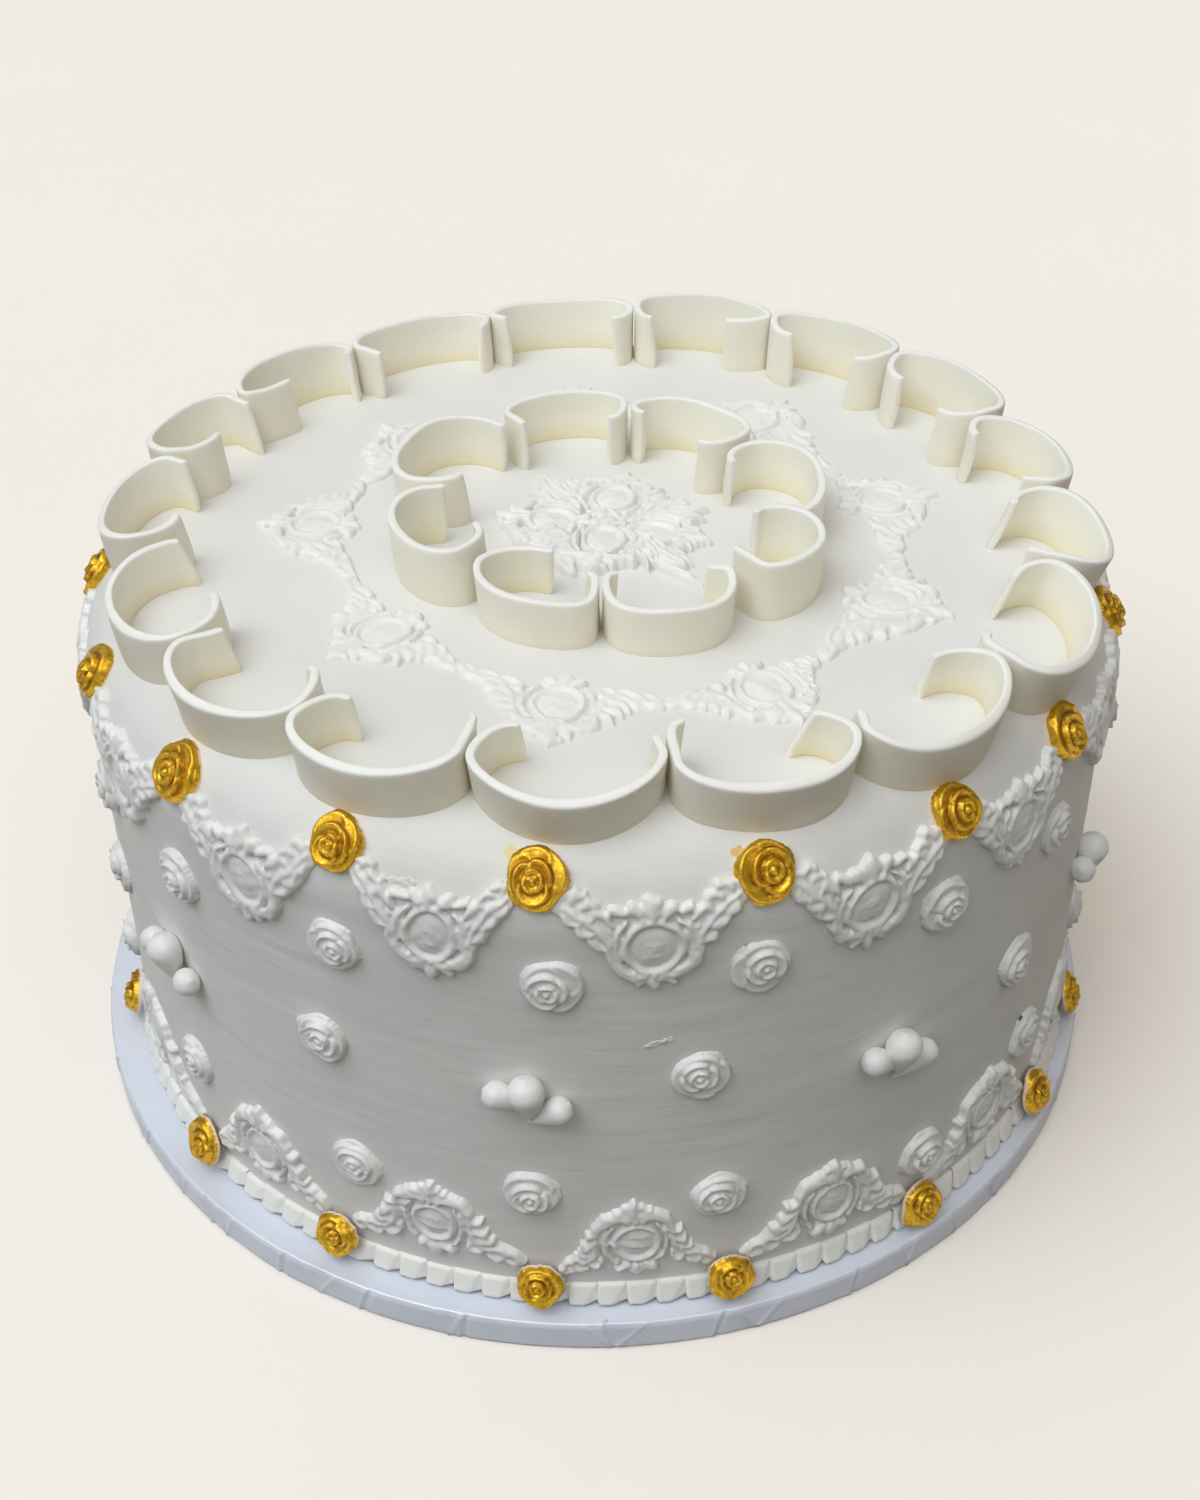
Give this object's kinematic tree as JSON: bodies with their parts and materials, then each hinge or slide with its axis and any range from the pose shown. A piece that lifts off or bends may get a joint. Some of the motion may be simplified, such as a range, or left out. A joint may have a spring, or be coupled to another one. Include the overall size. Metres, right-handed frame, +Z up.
{
  "type": "round buttercream cake on a cake drum",
  "caption": "Tall round celebration cake on a foil-covered drum: smooth icing, rings of upright fondant ribbons, gold and white roses, moulded scrollwork and a piped bead border.",
  "frame": {"origin": "middle of the drum's underside, on the surface the cake stands on", "axes": "+Z up through the cake; -Y towards the side the picture shows, +X to its right"},
  "size_m": [0.4064, 0.4064, 0.2337],
  "materials": {
    "drum_wrap": "pearly wrapping foil, slightly creased at the edge",
    "icing": "smooth matt white buttercream",
    "fondant": "satin ivory fondant",
    "gold_lustre": "metallic gold edible lustre paint"
  },
  "bodies": {
    "root": {"cake_drum": "drum_wrap", "cake_body": "icing", "bead_border": "icing", "upper_scrollwork": "icing", "lower_scrollwork": "icing", "star_scrollwork": "icing", "centre_medallion": "icing", "outer_ribbon_01": "fondant", "outer_ribbon_02": "fondant", "outer_ribbon_03": "fondant", "outer_ribbon_04": "fondant", "outer_ribbon_05": "fondant", "outer_ribbon_06": "fondant", "outer_ribbon_07": "fondant", "outer_ribbon_08": "fondant", "outer_ribbon_09": "fondant", "outer_ribbon_10": "fondant", "outer_ribbon_11": "fondant", "outer_ribbon_12": "fondant", "outer_ribbon_13": "fondant", "outer_ribbon_14": "fondant", "outer_ribbon_15": "fondant", "outer_ribbon_16": "fondant", "outer_ribbon_17": "fondant", "inner_ribbon_01": "fondant", "inner_ribbon_02": "fondant", "inner_ribbon_03": "fondant", "inner_ribbon_04": "fondant", "inner_ribbon_05": "fondant", "inner_ribbon_06": "fondant", "inner_ribbon_07": "fondant", "inner_ribbon_08": "fondant", "gold_rose_01": "gold_lustre", "gold_rose_02": "gold_lustre", "gold_rose_03": "gold_lustre", "gold_rose_04": "gold_lustre", "gold_rose_05": "gold_lustre", "gold_rose_06": "gold_lustre", "gold_rose_07": "gold_lustre", "gold_rose_08": "gold_lustre", "gold_rose_09": "gold_lustre", "gold_rose_10": "gold_lustre", "gold_rose_11": "gold_lustre", "gold_rose_12": "gold_lustre", "gold_rose_13": "gold_lustre", "gold_rose_14": "gold_lustre", "gold_rose_15": "gold_lustre", "gold_rose_16": "gold_lustre", "gold_rose_17": "gold_lustre", "drop_trio_01": "icing", "drop_trio_02": "icing", "drop_trio_03": "icing", "drop_trio_04": "icing", "drop_trio_05": "icing", "drop_trio_06": "icing", "drop_trio_07": "icing", "drop_trio_08": "icing", "drop_trio_09": "icing"}
  },
  "joints": []
}
